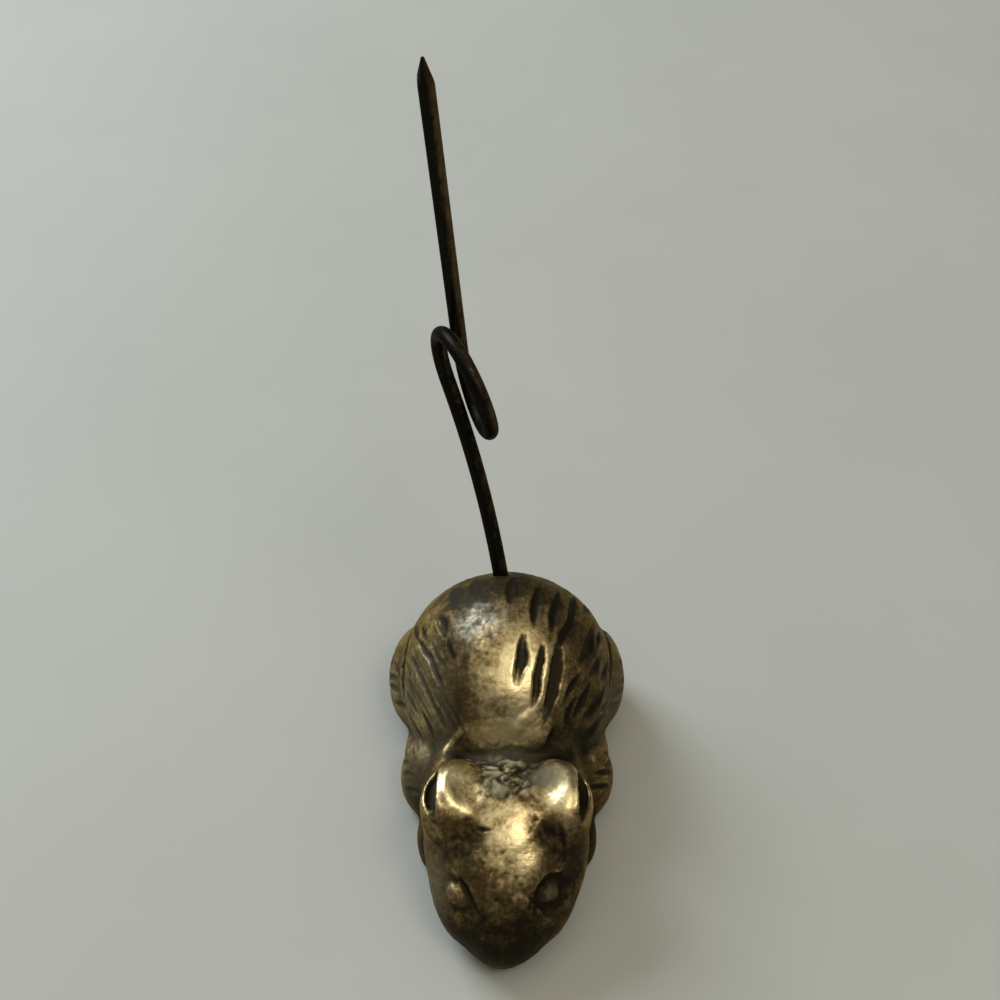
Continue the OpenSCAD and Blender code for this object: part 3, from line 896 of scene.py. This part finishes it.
def tool_rump(clay, draw, depth_share):
    """Rows of strokes over the rump, clear of the tail's hole."""
    for row in range(ROW_COUNT):
        for k in range(-ROW_HALF, ROW_HALF + 1):
            along = ROW_START + ROW_STEP * row + draw.uniform(-ROW_JITTER, ROW_JITTER)
            angle = ROW_TURN * (k + 0.5 * (row % 2)) + draw.uniform(-ROW_WOBBLE, ROW_WOBBLE)
            places = [(along, ROW_TUCK * angle), (along + draw.uniform(*ROW_LENGTH), angle)]
            ends = [clay.on_back(*place) for place in places]
            gap = min(np.linalg.norm(end - np.array(TAIL_MOUTH)) for end in ends)
            if abs(angle) > ROW_LIMIT or gap < TAIL_CLEAR:
                continue
            stroke = combed(clay, places, draw)
            width = draw.uniform(*ROW_WIDTH)
            depth = depth_share * draw.uniform(*ROW_DEPTH)
            skew = draw.uniform(*ROW_SKEW)
            clay.groove(stroke, width, depth, skew=skew, **ROW_CUT)


def tool_legs(clay, draw, depth_share):
    """Rows of short nicks on the hind and front legs of both sides."""
    for side in (-1, 1):
        for count, first, step, jitter, length, turn, wobble, width, depth in LEG_ROWS:
            for k in range(count):
                along = first - step * k + draw.uniform(-jitter, jitter)
                start = (along, side * (LEG_ANGLE + draw.uniform(-wobble, wobble)))
                end = (along - length, side * (turn + draw.uniform(-wobble, wobble)))
                stroke = combed(clay, [start, end], draw)
                clay.groove(stroke, width, depth * depth_share, stain=LEG_STAIN)


def tool_scratches(clay, draw):
    """Faint scratches on the left flank."""
    for _ in range(SCRATCH_COUNT):
        along = draw.uniform(*SCRATCH_ALONG)
        angle = draw.uniform(*SCRATCH_ANGLE)
        length = draw.uniform(*SCRATCH_LENGTH)
        places = [(along, angle), (along - length, angle + SCRATCH_SLOPE * length)]
        stroke = combed(clay, places, draw)
        width = draw.uniform(*SCRATCH_WIDTH)
        depth = draw.uniform(*SCRATCH_DEPTH)
        clay.groove(stroke, width, depth, **SCRATCH_CUT)


def tool_fur(clay, depth_share):
    """All the fur, whose random draws come from one seed in this order."""
    draw = random.Random(FUR_SEED)
    tool_back(clay, draw, depth_share)
    tool_rump(clay, draw, depth_share)
    tool_legs(clay, draw, depth_share)
    tool_scratches(clay, draw)


def over_top(clay, places):
    return [clay.on_top(x, y) for x, y in places]


def tool_ear(clay, side):
    """One ear: its hollow, the rims on both sides of it, and its dished pad."""
    def on_ear(y, slope):
        return clay.touch((side * EAR_X, y, EAR_Z), (side, 0, slope))

    clay.socket(
        on_ear(EAR_MIDDLE, HOLLOW_SLOPE), long_way=math.radians(90), half_l=3.8, half_w=1.35,
        depth=0.65, height=0.0, stain=0.65 + 0.15 * side, dust=0.0, ragged=0.0)
    clay.ridge([on_ear(y, INNER_RIM) for y in EAR_PLACES], width=1.3, height=0.25)
    # The outer rim also gets a faint painted highlight
    clay.ridge([on_ear(y, OUTER_RIM) for y in EAR_PLACES], width=2.2, height=0.15, painted_shine=0.15)
    clay.swell((side * 6.3, -12.2, 21.4), reach=(3.2, 4.2, 4), height=-0.65)


def tool_mouth(clay, side):
    """One side of the mouth line, and its nostril."""
    lips = [clay.touch((side * 0.5 - 0.6, y, z), (side, -0.12, -0.05)) for y, z in LIP_PLACES]
    clay.groove(lips, width=1.0, depth=0.4, lip=0.4)
    nostril = clay.touch((side * 0.9 - 0.8, -27, 5.6), (side * 0.25, -1, 0.28))
    clay.groove([nostril, nostril + np.array((side * 0.4, 0.3, 0.1))], width=0.9, depth=0.35)


def tool_head(clay):
    """Eyes, cheeks, brow, creases, the ridges of the neck, ears and mouth."""
    for place, *shape in EYES:
        clay.socket(clay.on_top(*place), *shape)
    for form in CHEEK_FORMS:
        clay.swell(*form)
    for x, y, reach, height in BROW_FORMS:
        clay.swell(clay.on_top(x, y), (reach, reach, reach), height)
    for places, width, depth, lip, stain in HEAD_CREASES:
        clay.groove(over_top(clay, places), width, depth, lip=lip, stain=stain)
    for places, width, height, painted_shine in HEAD_RIDGES:
        clay.ridge(over_top(clay, places), width, height, painted_shine)
    # Painted shade along the left edge of the back panel
    clay.shade(over_top(clay, PANEL_EDGE), PANEL_FADE, PANEL_SHADE)
    for side in (-1, 1):
        tool_ear(clay, side)
        tool_mouth(clay, side)


def clods(clay, where):
    """Lumps with sharp creases between them, from 0 to about 1, where a share is above zero."""
    height = np.zeros(len(clay.co))
    # Without a seed, noise_vector starts from the clock
    noise.seed_set(CLOD_SEED)
    for i in np.flatnonzero(where > 0):
        place = Vector(clay.co[i]) / CLOD_SIZE
        near = noise.voronoi(place + CLOD_BEND * noise.noise_vector(1.3 * place))[0]
        height[i] = min(1.0, CLOD_CREASE * (near[1] - near[0]))
    return height


def roughen_neck(clay):
    """The lumpy patch between the ears and behind them, dark in its creases and dusty on top."""
    patch = clay.areas(NECK_PATCH)
    lumps = CLOD_SHARE * clods(clay, patch) + clay.grain(NECK_GRAIN)
    clay.rise += patch * (0.55 * lumps - 0.25)
    clay.age_and_light += 1.1 * patch * (0.4 - lumps)
    clay.dust = np.maximum(clay.dust, np.clip(1.5 * patch, 0, 1) * np.clip(1.4 * lumps, 0, 0.8))


def roughen(clay):
    """Unevenness of the casting, the lumps of the neck, scattered pits and mottling."""
    clay.rise += clay.grain(CAST_GRAIN)
    roughen_neck(clay)
    head = clay.areas(WHOLE_HEAD)
    pits = np.clip(clay.rough(*PIT_GRAIN) - PIT_LEVEL, 0, 1)
    clay.rise -= PIT_DEPTH * pits * (0.25 + head)
    clay.age_and_light += PIT_STAIN * pits * (0.3 + head)
    mottled = 0.15 + 0.33 * head * (1 - 0.8 * clay.areas(EAR_PADS)) + 0.35 * clay.areas(BACK_PANEL)
    clay.age_and_light += mottled * clay.grain(MOTTLE_GRAIN)


def patina_and_light_of(clay, final):
    """Age of the skin at each vertex: patina dark in hollows and low down, painted shade on steep
    sides, bright on what hands rub, and the painted light and shade of the areas.
    """
    fine = np.einsum("ij,ij->i", clay.relaxed(final, FINE_PASSES) - final, clay.normal)
    broad = np.einsum("ij,ij->i", clay.relaxed(final, BROAD_PASSES) - final, clay.normal)
    age_and_light = AGE_LEVEL + FINE_AGE * fine + BROAD_AGE * broad + TOOLED_AGE * clay.age_and_light
    # Painted shade: steep sides darker
    age_and_light += STEEP_SHADE * np.clip(STEEP_FROM - clay.normal[:, 2], 0, 1)
    return np.clip(age_and_light + clay.areas(AGE_AND_LIGHT_AREAS), 0, MOST_AGE)


def smooth(obj, passes, group=""):
    """Smooths an object, or one group of its vertices."""
    relax = obj.modifiers.new("relax", "SMOOTH")
    relax.vertex_group = group
    relax.factor = 0.5
    relax.iterations = passes
    bpy.ops.object.modifier_apply(modifier=relax.name)


def even_out(obj, step, passes):
    """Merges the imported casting's triangles and gives it an even, relaxed mesh."""
    bpy.ops.object.mode_set(mode="EDIT")
    bpy.ops.mesh.select_all(action="SELECT")
    bpy.ops.mesh.remove_doubles(threshold=0.001 * MM)
    bpy.ops.object.mode_set(mode="OBJECT")
    even = obj.modifiers.new("even", "REMESH")
    even.mode = "VOXEL"
    even.voxel_size = step
    bpy.ops.object.modifier_apply(modifier=even.name)
    smooth(obj, passes)


def soften(obj, places, reach, passes):
    """Smooths the skin round some places, so that a tool can shape it afresh."""
    group = obj.vertex_groups.new(name="soft")
    for vertex in obj.data.vertices:
        gap = min((vertex.co - MM * Vector(place)).length for place in places)
        if gap < reach:
            group.add([vertex.index], min(1.0, 2 - 2 * gap / reach), "REPLACE")
    smooth(obj, passes, group.name)
    obj.vertex_groups.clear()


class SPIKE_OT_casting(bpy.types.Operator):
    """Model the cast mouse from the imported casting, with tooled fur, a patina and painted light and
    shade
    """

    bl_idname = "spike.casting"
    bl_label = "Cast Mouse"

    def execute(self, context):
        settings = context.scene.spike_casting
        casting = bpy.data.objects.new("mouse_casting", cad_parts["mouse_body"].data.copy())
        context.scene.collection.objects.link(casting)
        casting.data.materials.clear()
        make_active(casting)
        even_out(casting, settings.mesh_step, settings.relax_passes)
        soften(casting, [(*eye[0], EYE_Z) for eye in EYES], EYE_REACH * MM, EYE_PASSES)

        clay = Clay(casting.data)
        tool_fur(clay, settings.fur_depth)
        tool_head(clay)
        roughen(clay)
        stay = np.clip(clay.co[:, 2] / FOOT_BAND, 0, 1)
        final = clay.co + clay.normal * ((clay.rise - clay.press) * stay)[:, None]
        low, high = (np.array(corner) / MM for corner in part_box("mouse_body"))
        final = np.clip(final, low, high)
        casting.data.vertices.foreach_set("co", (final * MM).astype(np.float32).ravel())
        casting.data.update()

        store(casting.data, "patina_and_painted_light", patina_and_light_of(clay, final))
        store(casting.data, "dust", np.maximum(clay.dust, clay.areas(DUSTY_AREAS)))
        store(casting.data, "pale", clay.areas(SHEEN_PAINT_AREAS))
        bpy.ops.object.shade_smooth()
        casting.data.materials.append(aged_brass_with_painted_light(settings))
        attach(casting, "root")
        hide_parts("mouse_body")
        return {"FINISHED"}


# The tail

class Bender:
    """Draws a wire on from its end ring, in straight runs and bends."""

    def __init__(self, place):
        self.place = place

    def run(self, length):
        step = self.place.to_3x3() @ Vector((0, 0, length))
        bpy.ops.mesh.extrude_region_move(TRANSFORM_OT_translate={"value": step})
        self.place = self.place @ Matrix.Translation((0, 0, length))

    def bend(self, radius, angle, side, steps):
        self.place = self.place @ Matrix.Rotation(side, 4, "Z")
        centre = self.place @ Vector((radius, 0, 0))
        axis = self.place.to_3x3() @ Vector((0, 1, 0))
        bpy.ops.mesh.spin(steps=steps, angle=-angle, center=centre, axis=axis)
        self.place = self.place @ Matrix.Translation((radius, 0, 0))
        self.place = self.place @ Matrix.Rotation(angle, 4, "Y") @ Matrix.Translation((-radius, 0, 0))


def root_place(settings):
    """The place and turn of the wire's first ring, at the bottom of its hole."""
    place = Matrix.Translation(Vector(TAIL_MOUTH) * MM)
    place = place @ Matrix.Rotation(ROOT_TURN, 4, "Z") @ Matrix.Rotation(ROOT_LEAN, 4, "X")
    place = place @ Matrix.Translation((0, 0, -settings.hole_depth))
    return place @ Matrix.Rotation(ROOT_ROLL, 4, "Z")


def bend_tail(wire, settings):
    """Draws the wire on to its tip, and gives the place of the point's shoulder."""
    wire.run(settings.hole_depth)
    wire.run(ROOT_LEAD)
    wire.bend(BOW_LENGTH / BOW_ANGLE, BOW_ANGLE, BOW_SIDE, BOW_STEPS)
    wire.run(LOOP_LEAD)
    for radius, angle, side in LOOP_BENDS:
        wire.bend(radius * MM, math.radians(angle), math.radians(side), int(angle / LOOP_STEP))
    for _ in range(SHAFT_STEPS):
        wire.run(settings.shaft_l / SHAFT_STEPS)
    shoulder = wire.place
    wire.run(settings.point_l)
    return shoulder


def select_faces(obj, chosen):
    """Selects the faces whose middles are chosen, in edit mode."""
    bpy.ops.mesh.select_all(action="DESELECT")
    shape = bmesh.from_edit_mesh(obj.data)
    for face in shape.faces:
        face.select = chosen(face.calc_center_median())
    bmesh.update_edit_mesh(obj.data)


def nip_point(tail, shoulder, settings):
    """Cuts the flats of the point beyond its shoulder."""
    to_shoulder = shoulder.inverted()
    nip = math.atan((settings.wire_d - settings.point_w) / 2 / settings.point_l)
    for k in range(POINT_FLATS):
        turned = shoulder @ Matrix.Rotation(math.radians(360 * k / POINT_FLATS), 4, "Z")
        select_faces(tail, lambda middle: (to_shoulder @ middle).z > 0)
        bpy.ops.mesh.bisect(
            plane_co=turned @ Vector((settings.wire_d / 2, 0, 0)),
            plane_no=turned.to_3x3() @ Vector((math.cos(nip), 0, math.sin(nip))),
            use_fill=True, clear_outer=True)


def rub_and_sheen_of(mesh):
    """How far papers have rubbed the wire at each vertex up the shaft, with a painted sheen most on its
    right side, where the light falls.
    """
    height = np.array([v.co.z for v in mesh.vertices])
    sheen_side = np.clip([RUB_ROUND + (1 - RUB_ROUND) * v.normal.x for v in mesh.vertices], 0, 1)
    shaft = np.clip((height - RUB_FROM) / RUB_RISE, 0, 1)
    return RUB_LEAST + sheen_side * (RUB_LOW + RUB_SHAFT * shaft)


class SPIKE_OT_tail(bpy.types.Operator):
    """Bend the wire tail and nip its point"""

    bl_idname = "spike.tail"
    bl_label = "Wire Tail"

    def execute(self, context):
        settings = context.scene.spike_wire
        place = root_place(settings)
        deselect_all()
        bpy.ops.mesh.primitive_circle_add(
            vertices=settings.sides, radius=settings.wire_d / 2, fill_type="NGON",
            location=place.translation, rotation=place.to_euler())
        tail = context.object
        tail.name = tail.data.name = "tail_wire"
        bpy.ops.object.transform_apply(location=True, rotation=True, scale=True)
        bpy.ops.object.mode_set(mode="EDIT")
        bpy.ops.mesh.select_mode(type="FACE")
        bpy.ops.mesh.select_all(action="SELECT")
        shoulder = bend_tail(Bender(place), settings)
        nip_point(tail, shoulder, settings)
        bpy.ops.mesh.select_all(action="SELECT")
        bpy.ops.mesh.normals_make_consistent(inside=False)
        bpy.ops.object.mode_set(mode="OBJECT")
        bpy.ops.object.shade_smooth_by_angle(angle=math.radians(30))
        store(tail.data, "rub_and_sheen", rub_and_sheen_of(tail.data))
        tail.data.materials.append(oxidised_wire_with_sheen(settings))
        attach(tail, "root")
        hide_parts("tail_spike")
        return {"FINISHED"}


# The stage

def soft_light(name, place, target, width, height, power, colour):
    """A large soft lamp that faces a target."""
    heading = Vector(target) - Vector(place)
    bpy.ops.object.light_add(
        type="AREA", location=place, rotation=heading.to_track_quat("-Z", "Y").to_euler())
    lamp = bpy.context.object
    lamp.name = name
    lamp.data.shape = "RECTANGLE"
    lamp.data.size = width
    lamp.data.size_y = height
    lamp.data.energy = power
    lamp.data.color = colour


def soft_room():
    """Soft warm light, brightest from above and dim near the horizon."""
    world = bpy.data.worlds.new("soft_room")
    world.use_nodes = True
    tree = world.node_tree
    heading = add_node(tree, "TexCoord").outputs["Generated"]
    towards = add_node(tree, "VectorMath", {"operation": "DOT_PRODUCT"}, _0=heading, _1=ROOM_TOP)
    share = math_node(tree, "MULTIPLY_ADD", towards.outputs["Value"], 0.5, 0.5)
    glow = ramp_node(tree, share, ROOM_GLOW)
    fill(tree, tree.nodes["Background"], {"Color": glow, "Strength": 1.02})
    return world


class SPIKE_OT_stage(bpy.types.Operator):
    """Set the pale floor, the soft lights and the camera"""

    bl_idname = "spike.stage"
    bl_label = "Stage"

    def execute(self, context):
        settings = context.scene.spike_stage
        scene = context.scene
        deselect_all()
        bpy.ops.mesh.primitive_plane_add(size=6.0)
        floor = context.object
        floor.name = "floor"
        floor.data.materials.append(pale_board(settings))

        scene.world = soft_room()
        for lamp in LAMPS:
            soft_light(*lamp)

        bpy.ops.object.camera_add(
            location=settings.camera_place, rotation=(settings.camera_pitch, 0, 0))
        camera = context.object
        camera.data.lens = settings.lens
        camera.data.sensor_width = 36.0
        camera.data.clip_start = 0.005
        scene.camera = camera
        scene.view_settings.view_transform = "Standard"
        return {"FINISHED"}


class SPIKE_PT_panel(bpy.types.Panel):
    """The steps of the bill spike, in order"""

    bl_label = "Bill Spike"
    bl_idname = "SPIKE_PT_panel"
    bl_space_type = "VIEW_3D"
    bl_region_type = "UI"
    bl_category = "Bill Spike"

    def draw(self, context):
        for operator, name, group in STEPS:
            box = self.layout.box()
            box.operator(operator.bl_idname)
            for prop in group.__annotations__:
                box.prop(getattr(context.scene, name), prop)


STEPS = [
    (SPIKE_OT_stage, "spike_stage", StageSettings),
    (SPIKE_OT_casting, "spike_casting", CastingSettings),
    (SPIKE_OT_tail, "spike_wire", WireSettings),
]


def register():
    for operator, name, group in STEPS:
        bpy.utils.register_class(group)
        setattr(bpy.types.Scene, name, PointerProperty(type=group))
        bpy.utils.register_class(operator)
    bpy.utils.register_class(SPIKE_PT_panel)


def unregister():
    bpy.utils.unregister_class(SPIKE_PT_panel)
    for operator, name, group in reversed(STEPS):
        bpy.utils.unregister_class(operator)
        delattr(bpy.types.Scene, name)
        bpy.utils.unregister_class(group)


def main():
    register()
    bpy.ops.spike.stage()
    bpy.ops.spike.casting()
    bpy.ops.spike.tail()


if __name__ == "__main__":
    main()
